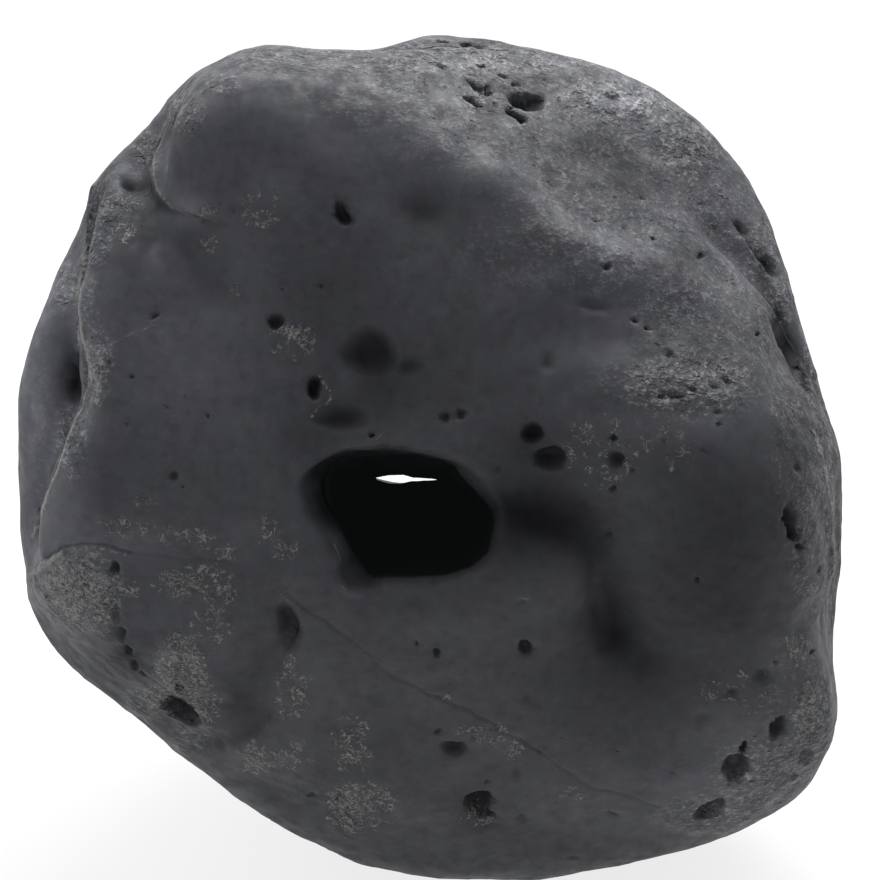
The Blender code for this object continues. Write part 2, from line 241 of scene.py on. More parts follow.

# How much paler or, below zero, darker the stone is than elsewhere, partly its own tone, partly painted
# light.
# Painted shade darkens hollows, recesses and sides turned from the light, painted highlight the sides that
# catch it.
TONES_AND_PAINTED_LIGHT = table(
    Patch,
    # the left side and the lobe behind it
    (45, 430, 30, 100, 0.6), (98, 360, 16, 40, 0.35), (150, 335, 30, 20, 0.18), (200, 380, 36, 26, 0.2),
    (90, 425, 20, 20, 0.3), (298, 496, 8, 30, 0.1), (76, 380, 8, 26, -0.8), (104, 500, 18, 18, -0.2),
    (188, 215, 20, 16, 0.3), (138, 248, 22, 30, -0.2), (45, 400, 34, 130, 0.5), (88, 360, 10, 50, 0.3),
    (70, 382, 10, 28, -0.5), (60, 515, 40, 30, 0.25), (125, 210, 36, 40, -0.4), (185, 212, 22, 12, 0.35),
    (165, 110, 14, 30, 0.3), (78, 260, 14, 60, 0.25), (150, 350, 60, 50, 0.3), (220, 390, 50, 70, 0.15),
    (230, 270, 35, 40, 0.15), (120, 535, 60, 40, 0.15), (165, 420, 36, 38, 0.15), (235, 300, 34, 26, 0.12),
    (140, 538, 24, 14, 0.16), (182, 222, 14, 10, 0.15), (105, 350, 9, 5, 0.15),
    # the top
    (682, 256, 34, 20, -0.14), (455, 262, 22, 20, 0.12), (262, 182, 22, 18, 0.12), (300, 90, 70, 26, -0.18),
    (560, 60, 110, 16, 0.2), (640, 105, 60, 20, 0.25), (610, 150, 60, 22, -0.28), (640, 195, 50, 22, -0.2),
    (660, 240, 70, 18, -0.05), (480, 43, 60, 5, -0.3), (524, 82, 30, 10, -0.35), (740, 215, 24, 40, 0.15),
    (225, 75, 30, 12, 0.12), (620, 100, 26, 16, 0.35), (460, 104, 26, 16, 0.25), (660, 140, 24, 20, 0.3),
    (585, 140, 24, 14, -0.28), (620, 178, 34, 18, -0.35), (680, 262, 36, 22, -0.32),
    (745, 262, 14, 22, 0.25), (345, 105, 30, 26, -0.13), (275, 185, 34, 26, 0.22), (188, 215, 22, 16, 0.5),
    (240, 245, 34, 34, 0.15), (500, 222, 26, 20, 0.22), (440, 175, 40, 16, 0.15), (100, 215, 8, 20, 0.3),
    (480, 64, 60, 9, 0.6), (600, 92, 50, 16, 0.42), (640, 112, 34, 22, 0.32), (640, 178, 34, 18, -0.2),
    (700, 225, 40, 16, -0.1), (420, 140, 26, 16, 0.12), (500, 142, 22, 14, -0.15), (424, 214, 18, 14, -0.15),
    (584, 222, 20, 12, -0.1), (584, 262, 24, 12, 0.12),
    # the narrow recess at the upper right, darkened with painted shade, and the paler ridge beside it
    (779, 320, 5, 11, -0.7), (785, 336, 5, 10, -0.8), (791, 350, 5, 10, -0.8), (798, 366, 6, 11, -0.8),
    (805, 382, 5, 11, -0.8), (775, 309, 4, 8, -0.5), (766, 272, 8, 9, -0.35), (790, 312, 5, 9, 0.35),
    (802, 338, 4, 14, 0.3), (813, 370, 4, 14, 0.3), (778, 292, 12, 10, 0.4),
    # the middle
    (345, 591, 18, 9, 0.25), (500, 546, 20, 15, -0.2), (582, 622, 18, 18, -0.15), (702, 380, 24, 12, -0.12),
    (345, 290, 36, 50, -0.18), (428, 215, 30, 26, -0.3), (375, 400, 50, 50, -0.25),
    (330, 435, 22, 24, -0.22), (300, 440, 28, 36, -0.2), (300, 310, 40, 26, -0.15),
    (430, 385, 60, 24, -0.16), (345, 378, 12, 16, 0.2), (460, 340, 70, 60, -0.08), (380, 382, 20, 16, -0.1),
    (660, 342, 26, 14, -0.1), (720, 422, 30, 18, 0.25), (520, 455, 40, 26, -0.22), (500, 180, 40, 20, 0.08),
    (560, 275, 90, 18, 0.1), (540, 345, 110, 18, -0.15), (700, 340, 70, 26, -0.35), (700, 425, 40, 18, 0.35),
    (620, 430, 60, 24, 0.12), (670, 420, 70, 20, 0.25), (640, 385, 50, 16, 0.15), (260, 130, 50, 40, 0.05),
    # round the hollow to the right of the hole, darkened with painted shade
    (540, 525, 50, 30, -0.2), (500, 508, 24, 28, -0.32), (545, 520, 40, 40, -0.26), (490, 565, 50, 18, -0.2),
    (585, 520, 18, 30, -0.2), (540, 505, 50, 34, -0.3), (560, 545, 50, 20, -0.15), (545, 440, 45, 30, -0.15),
    (598, 560, 15, 28, -0.3), (610, 605, 14, 26, -0.4), (620, 636, 15, 18, -0.3), (645, 658, 20, 14, -0.25),
    # the right lobe and the stone under it
    (782, 440, 15, 34, -0.16), (780, 780, 18, 16, -0.2), (725, 555, 75, 90, -0.38),
    (650, 590, 60, 70, -0.15), (620, 690, 80, 50, -0.28), (800, 470, 14, 80, -0.25),
    (770, 720, 70, 80, 0.32), (700, 800, 70, 30, 0.2), (790, 440, 24, 50, -0.15), (840, 540, 5, 60, -0.35),
    # the lower left and the bottom
    (180, 702, 22, 18, -0.3), (142, 615, 18, 20, 0.16), (58, 622, 16, 18, -0.17), (118, 664, 24, 12, -0.16),
    (475, 824, 26, 12, -0.17), (125, 640, 26, 40, -0.32), (175, 700, 50, 24, -0.2),
    (244, 705, 24, 40, -0.35), (275, 620, 20, 30, -0.15), (60, 570, 40, 36, 0.25), (200, 590, 60, 40, 0.12),
    (400, 690, 120, 30, 0.06), (560, 790, 90, 30, 0.12), (218, 742, 20, 16, -0.2), (262, 660, 16, 24, -0.2),
    (620, 662, 20, 16, 0.15), (730, 745, 40, 40, 0.15), (450, 705, 40, 14, 0.12), (460, 775, 16, 12, 0.2),
    (478, 822, 30, 12, -0.15), (270, 782, 30, 14, -0.1), (740, 620, 60, 28, -0.22),
    (600, 640, 40, 30, -0.22), (780, 665, 14, 20, 0.4), (120, 545, 50, 18, 0.25), (240, 540, 40, 20, 0.25),
    (100, 582, 14, 14, 0.3), (300, 582, 18, 16, 0.25), (130, 665, 30, 20, -0.2), (225, 655, 20, 24, 0.15),
    (310, 790, 34, 20, -0.2), (500, 742, 26, 16, 0.2), (475, 806, 34, 26, -0.2), (540, 785, 24, 14, 0.15),
    (700, 800, 40, 26, 0.2), (620, 825, 60, 18, 0.12), (330, 830, 80, 20, -0.08), (440, 862, 160, 12, -0.1),
    (320, 700, 30, 30, 0.08), (420, 600, 120, 16, -0.06),
)

# How much greener the stone is, or less green below zero, and how much warmer, or bluer below zero.
GREEN = table(
    Patch,
    (450, 480, 130, 110, 1), (600, 540, 110, 110, 0.5), (380, 380, 90, 50, 0.4), (190, 280, 60, 40, 0.4),
    (680, 440, 60, 30, 0.4), (520, 290, 40, 30, 0.4), (240, 440, 60, 50, 0.3), (560, 780, 260, 60, -0.35),
    (440, 80, 300, 50, -0.2), (740, 200, 70, 80, -0.4),
)
WARM = table(
    Patch,
    (520, 740, 230, 110, 0.9), (600, 600, 160, 60, 0.5), (780, 560, 60, 100, 0.6), (280, 620, 70, 60, 0.5),
    (200, 530, 60, 40, 0.4), (60, 350, 50, 130, -0.9), (110, 200, 60, 60, -0.9), (90, 640, 50, 60, -0.6),
    (660, 250, 100, 80, -0.5), (300, 150, 120, 80, -0.3),
)

# Where the surface is rough with grains and tiny pits.
ROUGH = table(
    Patch,
    (560, 120, 150, 60, 1), (640, 210, 130, 80, 1), (720, 320, 90, 80, 1), (420, 90, 120, 40, 0.8),
    (300, 66, 110, 20, 0.8), (680, 380, 80, 30, 1), (800, 480, 30, 100, 0.8), (110, 200, 30, 40, 0.8),
    (55, 250, 20, 60, 0.8), (88, 320, 10, 100, 0.8), (800, 700, 40, 80, 0.5), (40, 420, 10, 90, 0.3),
    (520, 250, 60, 40, 0.4), (690, 385, 70, 32, 1.6), (812, 530, 22, 100, 1.2), (490, 90, 40, 30, 1.4),
    (430, 56, 230, 18, 2.1), (480, 62, 90, 14, 1.4), (570, 72, 60, 16, 1.2), (330, 62, 120, 12, 1.3),
    (620, 100, 70, 22, 1.8), (690, 140, 36, 40, 1.9), (665, 100, 30, 24, 1.2), (100, 205, 24, 26, 2),
    (97, 240, 14, 24, 1.6), (145, 150, 14, 24, 1.4), (185, 112, 20, 24, 1.3), (220, 84, 24, 12, 1.4),
    (66, 285, 12, 26, 1.5), (98, 365, 14, 34, 1.5), (72, 440, 16, 36, 1.5), (400, 90, 50, 18, 1.1),
    (765, 250, 18, 40, 1.4), (785, 300, 16, 26, 1.7), (810, 360, 12, 50, 2), (560, 100, 30, 10, 0.8),
    (790, 400, 22, 40, 1.3), (824, 450, 14, 60, 1.7), (832, 560, 12, 80, 1.4), (775, 775, 60, 40, 1.3),
    (815, 720, 20, 50, 1.4), (720, 815, 60, 22, 1.2), (176, 700, 28, 22, 1.6), (190, 738, 20, 16, 1.2),
    (75, 590, 44, 40, 1.4), (180, 672, 24, 30, 1.2), (145, 702, 20, 20, 1.2),
)

# Where it is smoother than elsewhere.
SMOOTH = table(
    Patch,
    (720, 555, 70, 90, 0.5), (600, 660, 80, 50, 0.3), (560, 335, 90, 26, 0.3), (250, 690, 26, 40, 0.4),
    (240, 140, 60, 50, 0.15), (792, 352, 8, 32, 1.2),
)

# What is scattered over the sides that the photograph doesn't show.
LONE_PITS, PIT_GROUPS, PITS_IN_GROUP, HIDDEN_CRUSTS = 45, 9, 6, 16

# The hole's rim, the edge of the painted shade in it and the daylight seen through it, each as an outline
# round a point inside it.
MOUTH_POINT = (400, 515)
MOUTH = [
    (305, 490), (321, 462), (350, 453), (375, 452), (402, 455), (430, 460), (452, 466), (478, 493),
    (493, 510), (495, 523), (489, 552), (473, 566), (446, 575), (411, 577), (386, 577), (375, 586),
    (352, 587), (343, 573), (343, 557), (325, 532), (311, 512),
]
LOWER_RIM = MOUTH[8:15]
SHADE = [
    (328, 480), (330, 495), (333, 512), (341, 530), (349, 546), (360, 562), (371, 577), *reversed(LOWER_RIM),
    (478, 495), (452, 471), (430, 466), (402, 462), (375, 460), (352, 461), (336, 468),
]
DAYLIGHT_POINT = (402, 479.5)
DAYLIGHT = [
    (370, 478.5), (390, 475), (403, 474.5), (414, 477.5), (432, 478.0), (446, 479.5), (432, 481),
    (413, 481.5), (400, 484), (388, 483.5),
]
# Painted light where the wall just inside the rim would catch the light: it glows more there.
PAINTED_WALL_LIGHT = table(Patch, (332, 545, 12, 16, 4.0), (350, 572, 14, 12, 2.5), (322, 528, 9, 14, 1.0))

TUNNEL_SIDES = (-45 * MM, 24 * MM)  # nothing of the tunnel reaches past these along X
RIM_END = -20 * MM  # along Y, the hole's rim is in front of this and its tunnel behind
RIM_WAYS, RIM_NEAR, RIM_FAR = 72, 20, 130  # the rim is looked for this many ways, between these pixels
# Along Y, where the tunnel starts to narrow, is narrowest, starts to widen and is wide again.
CHOKE = (18 * MM, 26 * MM, 44 * MM, 54 * MM)

# ---------------- the stone's mesh

COARSE_STEP = 2.7 * MM  # the mesh starts this coarse all over, and each refining halves it
STRETCHED = 0.32 * COARSE_STEP  # an edge in a pit's wall that is longer than this is stretched
CRISP, CRISP_RADIUS = 0.45, 3.5 * MM  # a softer pit, or a scattered one that is wider, needs no finest mesh
# Pits and cracks are darkened with painted shade, more where they are deeper.
FULL_PAINTED_SHADE_DEPTH = 2.5  # mm: a pit as deep as this is as dark as a pit gets
# The darkest that the tone with its painted shade may make the stone, as a factor.
DARKEST_TONE_AND_PAINTED_SHADE = 0.2
RELAXING = (0.5, -0.53)  # a pull in, and then one out again, so that nothing shrinks


def read(items, key, wide, kind=np.float32):
    values = np.empty(len(items) * wide, kind)
    items.foreach_get(key, values)
    return values.reshape(-1, wide)


def edges_of(data):
    return read(data.edges, "vertices", 2, np.int32)


def points_of(data):
    return read(data.vertices, "co", 3).astype(float)


def normals_of(data):
    return read(data.vertex_normals, "vector", 3).astype(float)


def set_points(data, points):
    """Moves the mesh's points, none of them to under the bench."""
    points[:, 2] = np.maximum(points[:, 2], 0.0)
    data.vertices.foreach_set("co", points.astype(np.float32).ravel())
    data.update()


def in_view(data):
    """The mesh's points, the pixels that they show at, and each one's metres in a pixel."""
    points = points_of(data)
    return points, *pixels_of(points)


def push_out(data, push):
    """Moves each point out of the surface by this many mm."""
    set_points(data, points_of(data) + normals_of(data) * (push * MM)[:, None])


def store(data, name, values):
    layer = data.attributes.get(name) or data.attributes.new(name, "FLOAT", "POINT")
    layer.data.foreach_set("value", values.astype(np.float32))


def stored(data, name):
    return read(data.attributes[name].data, "value", 1).astype(float).ravel()


def smooth_step(values):
    values = np.clip(values, 0, 1)
    return values**2 * (3 - 2 * values)


def neighbour_means(values, edges):
    """The mean of each point's neighbours' values."""
    count = len(values)
    neighbours = np.maximum(np.bincount(edges.ravel(), minlength=count), 1)
    total = np.bincount(edges[:, 0], values[edges[:, 1]], count)
    total += np.bincount(edges[:, 1], values[edges[:, 0]], count)
    return total / neighbours


def spread(values, edges, rounds):
    """Each point's value, averaged with its neighbours' this many times."""
    for _ in range(rounds):
        values = (values + neighbour_means(values, edges)) / 2
    return values


def relax(data, rounds):
    """Smooths the mesh without shrinking it."""
    points, edges = points_of(data), edges_of(data)
    for _ in range(rounds):
        for pull in RELAXING:
            for axis in range(3):
                values = points[:, axis]
                points[:, axis] = values + pull * (neighbour_means(values, edges) - values)
    set_points(data, points)


def refine(data, chosen):
    """Halves every edge whose two ends are chosen."""
    mesh = bmesh.new()
    mesh.from_mesh(data)
    both = chosen[edges_of(data)].all(axis=1)
    mesh.edges.ensure_lookup_table()
    picked = [mesh.edges[i] for i in np.flatnonzero(both)]
    bmesh.ops.subdivide_edges(mesh, edges=picked, cuts=1, use_grid_fill=True)
    mesh.to_mesh(data)
    mesh.free()


def even_copy(source):
    """The CAD solid's shape as an even mesh of small squares."""
    mesh = bmesh.new()
    mesh.from_mesh(source.data)
    bmesh.ops.remove_doubles(mesh, verts=mesh.verts, dist=0.001 * MM)
    data = bpy.data.meshes.new("welded")
    mesh.to_mesh(data)
    mesh.free()
    welded = new_object("welded", data)
    squares = welded.modifiers.new("squares", "REMESH")
    squares.mode = "VOXEL"
    squares.voxel_size = COARSE_STEP
    even = bpy.data.meshes.new_from_object(welded.evaluated_get(bpy.context.evaluated_depsgraph_get()))
    bpy.data.objects.remove(welded)
    return even


def tree_of(data, points):
    return BVHTree.FromPolygons(points.tolist(), [face.vertices[:] for face in data.polygons])


def seen_by_camera(data):
    """Which points the photograph shows, from 0 to 1, less where the surface turns edge-on."""
    points, normals = points_of(data), normals_of(data)
    away = points - np.array(EYE)
    distance = np.linalg.norm(away, axis=1)
    away /= distance[:, None]
    facing = -np.einsum("ij,ij->i", away, normals)
    tree = tree_of(data, points)
    seen = np.zeros(len(points))
    for i in np.flatnonzero(facing > 0):
        _, _, _, reach = tree.ray_cast(EYE, Vector(away[i]))
        if reach is not None and reach > distance[i] - 1.5 * MM:
            seen[i] = 1
    return seen * smooth_step(facing / 0.25)


def shown_at_all(seen):
    """1 wherever the photograph shows the surface, even slanted, easing to 0 elsewhere."""
    return np.minimum(seen * 5, 1)


def mark_tunnel(data):
    """Stores how deep in the tunnel each point lies, from 0 outside to 1."""
    points = points_of(data)
    outwards = points - np.array(MIDDLE)
    outwards /= np.linalg.norm(outwards, axis=1)[:, None]
    tree = tree_of(data, points)
    cover = np.zeros(len(points))
    for i in np.flatnonzero((points[:, 0] > TUNNEL_SIDES[0]) & (points[:, 0] < TUNNEL_SIDES[1])):
        way = Vector(outwards[i])
        _, _, _, reach = tree.ray_cast(Vector(points[i]) + way * 0.5 * MM, way)
        if reach is not None:
            cover[i] = reach
    store(data, "tunnel", spread(smooth_step(cover / (9 * MM)), edges_of(data), 2))


def gap_to_course(x, y, course):
    """Each pixel's distance to a line through the course's points, positive to the right of it."""
    gap = np.full(len(x), np.inf)
    for (x0, y0), (x1, y1) in zip(course, course[1:]):
        run_x, run_y = x1 - x0, y1 - y0
        along = np.clip(((x - x0) * run_x + (y - y0) * run_y) / (run_x**2 + run_y**2), 0, 1)
        off_x, off_y = x - x0 - along * run_x, y - y0 - along * run_y
        here = np.hypot(off_x, off_y) * np.where(run_x * off_y - run_y * off_x < 0, -1, 1)
        gap = np.where(np.abs(here) < np.abs(gap), here, gap)
    return gap


def pit_radius(x, y, pit, wobble):
    """How far out of the pit's middle each pixel is: 1 at its rim."""
    turn = math.radians(pit.turn)
    c, s = math.cos(turn), math.sin(turn)
    across = ((x - pit.x) * c + (y - pit.y) * s) / (pit.wide / 2)
    down = ((y - pit.y) * c - (x - pit.x) * s) / (pit.high / 2)
    angle = np.arctan2(down, across)
    rim = 1 + 0.06 * np.sin(2 * angle + wobble[0]) + 0.06 * np.sin(3 * angle + wobble[1])
    return np.hypot(across, down) / rim


def bell(x, y, mark):
    """1 at the mark's middle, falling smoothly to a third at its half-widths."""
    return np.exp(-(((x - mark.x) / mark.wide) ** 2) - ((y - mark.y) / mark.high) ** 2)


def blend(x, y, marks):
    """The patches added together at each pixel."""
    return sum(mark.strength * bell(x, y, mark) for mark in marks)


def patch_edge(radius):
    """1 inside a patch, falling to 0 past its rim, where the radius is 1."""
    return smooth_step(1.6 - radius * 1.1)


def strongest(x, y, marks):
    """How strongly each pixel belongs to one of the patches."""
    strength = np.zeros(len(x))
    for mark in marks:
        radius = np.hypot((x - mark.x) / mark.wide, (y - mark.y) / mark.high)
        strength = np.maximum(strength, mark.strength * patch_edge(radius))
    return strength


def stroke(x, y, line):
    """1 on the line's course, falling smoothly to a third at its half-width."""
    return np.exp(-((gap_to_course(x, y, line.course) / line.width) ** 2))


def bowl(radius, softness):
    """A pit's profile: 1 deep in the middle and 0 past its rim."""
    steep = np.clip(1 - radius**2.6, 0, 1) ** 0.75
    soft = np.exp(-((radius / 0.72) ** 2))
    return (1 - softness) * steep + softness * soft


def speckle(points, size, octaves):
    """Smooth noise from about -1 to 1 at each point, with features of this size."""
    return np.array([noise.fractal(Vector(p) / size, 1.0, 2.0, octaves) for p in points])


def shakes(points, size):
    """Smooth noise as a vector at each point, with features of this size."""
    return np.array([noise.noise_vector(Vector(p) / size) for p in points])


def ragged(points, x, y, size, amount):
    """The pixels, shaken a little, so that outlines drawn on them are irregular."""
    shake = shakes(points, size)
    return x + amount * shake[:, 0], y + amount * shake[:, 2]


def around(x, y, centre):
    """Each pixel's angle and distance from the centre."""
    return np.arctan2(y - centre[1], x - centre[0]), np.hypot(x - centre[0], y - centre[1])


def reach_of(outline, centre, angles):
    """How far the outline is from its centre, at these angles."""
    fine = []
    for (x0, y0), (x1, y1) in zip(outline, outline[1:] + outline[:1]):
        fine += [(x0 + (x1 - x0) * t / 8, y0 + (y1 - y0) * t / 8) for t in range(8)]
    fine = np.array(fine)
    turn, reach = around(fine[:, 0], fine[:, 1], centre)
    order = np.argsort(turn)
    return np.interp(angles, turn[order], reach[order], period=2 * math.pi)


def shift_in_view(points, angles, change, metres):
    """Moves points across the view, away from where their angles are taken from."""
    across = (np.cos(angles) * change * metres)[:, None] * np.array(RIGHT)
    return points + across - (np.sin(angles) * change * metres)[:, None] * np.array(UP)


def mouth_reach(data, angles):
    """How far the tunnel's front rim is from MOUTH_POINT in the view, at these angles."""
    tunnel = stored(data, "tunnel")
    tree = tree_of(data, points_of(data))
    ways = np.linspace(-math.pi, math.pi, RIM_WAYS, endpoint=False)
    rim = []
    for way in ways:
        reach = RIM_NEAR
        while reach < RIM_FAR:
            x, y = MOUTH_POINT[0] + math.cos(way) * reach, MOUTH_POINT[1] + math.sin(way) * reach
            ray = (TARGET + RIGHT * (x - CENTRE) * PIXEL + UP * (CENTRE - y) * PIXEL - EYE).normalized()
            face = tree.ray_cast(EYE, ray)[2]
            if face is not None and tunnel[list(data.polygons[face].vertices)].mean() < 0.5:
                break
            reach += 1
        rim.append(reach)
    return np.interp(angles, ways, rim, period=2 * math.pi)


def open_mouth(data):
    """Gives the tunnel's front rim the outline that the photograph shows."""
    points, x, y, metres = in_view(data)
    angles, reach = around(x, y, MOUTH_POINT)
    now = mouth_reach(data, angles)
    wanted = reach_of(MOUTH, MOUTH_POINT, angles)
    outside = np.exp(-((np.maximum(reach - now, 0) / 22) ** 2))
    depth = smooth_step((-15 * MM - points[:, 1]) / (40 * MM))
    near = (points[:, 1] < -25 * MM) & (reach < 170)
    change = np.where(near, (wanted - now) * outside * depth, 0)
    set_points(data, shift_in_view(points, angles, change, metres))


def narrow_tunnel(data):
    """Brings the tunnel's walls in to the daylight's outline over a short stretch."""
    points, x, y, metres = in_view(data)
    tunnel = stored(data, "tunnel")
    angles, reach = around(x, y, DAYLIGHT_POINT)
    wanted = reach_of(DAYLIGHT, DAYLIGHT_POINT, angles)
    start, full, still, end = CHOKE
    along = points[:, 1]
    amount = smooth_step((along - start) / (full - start)) * smooth_step((end - along) / (end - still))
    change = np.where(tunnel > 0.5, np.minimum(wanted - reach, 0) * amount, 0)
    set_points(data, shift_in_view(points, angles, change, metres))


def soften(data):
    """Smooths the mesh over the SOFT patches only."""
    points, x, y, _ = in_view(data)
    amount = (blend(x, y, SOFT) * spread(seen_by_camera(data), edges_of(data), 4))[:, None]
    relax(data, 25)
    set_points(data, points * (1 - amount) + points_of(data) * amount)


def nudge_edges(data):
    """Moves the front's edges to the right in the view, or to the left, as NUDGES says."""
    points, x, y, metres = in_view(data)
    shift = np.zeros(len(points))
    for nudge in NUDGES:
        in_front = smooth_step((nudge.before * MM - points[:, 1]) / (12 * MM))
        shift += nudge.by * bell(x, y, nudge) * in_front
    set_points(data, shift_in_view(points, np.zeros(len(points)), shift, metres))


def scatter(data):
    """Pits and crusts at random over the sides that the photograph doesn't show."""
    draw = np.random.default_rng(SEED)
    hidden = spread(seen_by_camera(data), edges_of(data), 12) < 0.02
    points = points_of(data)
    free = points[hidden & (stored(data, "tunnel") < 0.05) & (points[:, 2] > 5 * MM)]
    places = list(free[draw.choice(len(free), LONE_PITS, replace=False)])
    for centre in free[draw.choice(len(free), PIT_GROUPS, replace=False)]:
        near = free[np.linalg.norm(free - centre, axis=1) < 20 * MM]
        places += list(near[draw.choice(len(near), PITS_IN_GROUP)])
    pits = []
    for place in places:
        radius = 1.3 + 4.5 * draw.random() ** 2.5
        pits.append(Spot(place, radius * MM, radius * draw.uniform(0.4, 0.8), draw.uniform(0.15, 0.7)))
    crusts = []
    for place in free[draw.choice(len(free), HIDDEN_CRUSTS, replace=False)]:
        crusts.append(Spot(place, draw.uniform(9, 22) * MM, draw.uniform(0.4, 1.0), 1))
    return pits, crusts


def shape_broadly(data):
    """The swells and dips that the photograph shows, and a broad unevenness where it shows nothing."""
    seen = seen_by_camera(data)
    points, x, y, _ = in_view(data)
    tunnel = stored(data, "tunnel")
    push = blend(x, y, SWELLS) * spread(seen * (1 - tunnel), edges_of(data), 8)
    push += 0.5 * speckle(points, 22 * MM, 2)
    near_shown = np.minimum(spread(shown_at_all(seen), edges_of(data), 60) * 12, 1)
    push += 2.0 * speckle(points, 40 * MM, 2) * (1 - near_shown) * (1 - tunnel)
    push_out(data, push)


def cut_steps(data):
    """Raises one side of each step over the other."""
    _, x, y, _ = in_view(data)
    push = np.zeros(len(x))
    for step in STEPS:
        gap = gap_to_course(x, y, step.course)
        push += step.height / 2 * np.tanh(gap / step.width) * np.exp(-((gap / step.fade) ** 2))
    push_out(data, push * spread(seen_by_camera(data), edges_of(data), 4))


def near_marks(data, pits, lines, steps, spots, margin):
    """The points about this many pixels from a pit, line or step, or close to a scattered pit."""
    points, x, y, _ = in_view(data)
    near = np.zeros(len(x), bool)
    for pit in pits:
        near |= pit_radius(x, y, pit, (0, 0)) < 1 + margin / 80 + margin / max(pit.wide, pit.high)
    for line in lines:
        near |= np.abs(gap_to_course(x, y, line.course)) < line.width + margin - 2
    for step in steps:
        near |= np.abs(gap_to_course(x, y, step.course)) < step.width * 3
    near &= seen_by_camera(data) > 0.02
    for spot in spots:
        near |= np.linalg.norm(points - spot.place, axis=1) < spot.radius * 1.1 + 1.5 * MM
    return near


def crisp(pits):
    return [pit for pit in pits if pit.soft < CRISP]


def dent(push, hollow, depth, pit):
    """How far in and how hollow each point is with one more pit, as deep as depth says from 0 to 1."""
    # The pit's painted shade, darker the deeper it is.
    dark = depth * min(pit.depth / FULL_PAINTED_SHADE_DEPTH, 1.0)
    return np.minimum(push, -depth * pit.depth), np.maximum(hollow, dark)


def weather(points, pits, crusts):
    """How far in, how hollow and how crusted the scattered spots make each point."""
    shaken = points + shakes(points, 4 * MM) * 0.6 * MM
    push, hollow, crust = np.zeros((3, len(points)))
    for pit in pits:
        depth = bowl(np.linalg.norm(shaken - pit.place, axis=1) / pit.radius, pit.soft)
        push, hollow = dent(push, hollow, depth, pit)
    for spot in crusts:
        radius = np.linalg.norm(shaken - spot.place, axis=1) / spot.radius
        crust = np.maximum(crust, spot.depth * patch_edge(radius))
    return push, hollow, crust


def shown_marks(x, y):
    """How far in, how hollow and how pale the photograph's pits, cracks and pale lines make each point."""
    draw = np.random.default_rng(SEED)
    push, hollow, pale = np.zeros((3, len(x)))
    for pit in PITS:
        depth = bowl(pit_radius(x, y, pit, draw.uniform(0, 2 * math.pi, 3)), pit.soft)
        push, hollow = dent(push, hollow, depth, pit)
    for crack in CRACKS:
        profile = stroke(x, y, crack)
        push += crack.height * profile
        # Cracks are darkened with painted shade.
        hollow = np.maximum(hollow, profile * np.clip(-crack.height, 0, 0.5))
    # Pale lines, some of them painted highlights and glints on edges.
    for line in PALE_LINES_AND_PAINTED_HIGHLIGHTS:
        pale = np.maximum(pale, stroke(x, y, line) * line.height)
    return push + 0.2 * pale, hollow, pale


def carve(data, seen, pits, crusts):
    """Cuts pits, cracks and grain, and stores how hollow, crusted, pale and rough each point is."""
    points, x, y, _ = in_view(data)
    x, y = ragged(points, x, y, 3.5 * MM, 2.0)
    x, y = ragged(points, x, y, 1.2 * MM, 0.9)
    push, hollow, pale = shown_marks(x, y)
    far_push, far_hollow, far_crust = weather(points, pits, crusts)
    shown = shown_at_all(seen)
    rough = strongest(x, y, ROUGH) * shown + (0.6 + 0.8 * speckle(points, 30 * MM, 2)) * (1 - shown)
    rough -= blend(x, y, SMOOTH) * seen
    push = push * seen + far_push * (1 - seen)
    push += 0.35 * speckle(points, 11 * MM, 1)
    push += (0.14 + 0.16 * rough) * speckle(points, 4.5 * MM, 2)
    push_out(data, push)
    # How hollow each point is; it also sets how dark the painted shade in pits and cracks is.
    store(data, "hollow", np.clip(hollow, 0, 1) * seen + far_hollow * (1 - seen))
    store(data, "crust", strongest(x, y, CRUSTS) * seen + far_crust * (1 - seen))
    store(data, "pale", pale * seen)
    store(data, "rough", rough)


def ease_walls(data):
    """Refines the mesh where pits have stretched it, and smooths what they left there."""
    points, edges = points_of(data), edges_of(data)
    length = np.linalg.norm(points[edges[:, 0]] - points[edges[:, 1]], axis=1)
    chosen = np.zeros(len(points), bool)
    chosen[edges[length > STRETCHED].ravel()] = True
    chosen &= (stored(data, "hollow") > 0.15) & (stored(data, "tunnel") < 0.01)
    refine(data, chosen)
    points = points_of(data)
    relax(data, 2)
    amount = np.clip(stored(data, "hollow") * 4, 0, 1)[:, None]
    set_points(data, points * (1 - amount) + points_of(data) * amount)


def choke_zone(data):
    """The points where the tunnel is narrowest."""
    along = points_of(data)[:, 1]
    margin = 3 * MM
    return (stored(data, "tunnel") > 0.5) & (along > CHOKE[1] - margin) & (along < CHOKE[2] + margin)


def shape_stone():
    """The stone's whole mesh, from the CAD solid's surface down to the last pit."""
    data = even_copy(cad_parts[ROCK])
    relax(data, 18)
    mark_tunnel(data)
    shape_broadly(data)
    soften(data)
    relax(data, 2)
    refine(data, seen_by_camera(data) > 0.01)
    refine(data, choke_zone(data))
    relax(data, 2)
    open_mouth(data)
    nudge_edges(data)
    narrow_tunnel(data)
    relax(data, 1)
    pits, crusts = scatter(data)
    refine(data, near_marks(data, PITS, CRACKS + PALE_LINES_AND_PAINTED_HIGHLIGHTS, STEPS, pits, 8))
    cut_steps(data)
    relax(data, 2)
    small = [spot for spot in crisp(pits) if spot.radius < CRISP_RADIUS]
    refine(data, near_marks(data, crisp(PITS), CRACKS, (), small, 4))
    carve(data, seen_by_camera(data), pits, crusts)
    ease_walls(data)
    return data


def store_tones_and_painted_light(data):
    """Stores each point's tone, with its painted shade and highlight, and hue."""
    _, x, y, _ = in_view(data)
    shown = shown_at_all(seen_by_camera(data))
    store(data, "tone_and_painted_light", np.maximum(1 + blend(x, y, TONES_AND_PAINTED_LIGHT) * shown, DARKEST_TONE_AND_PAINTED_SHADE))
    store(data, "green", blend(x, y, GREEN) * shown)
    store(data, "warm", blend(x, y, WARM) * shown)


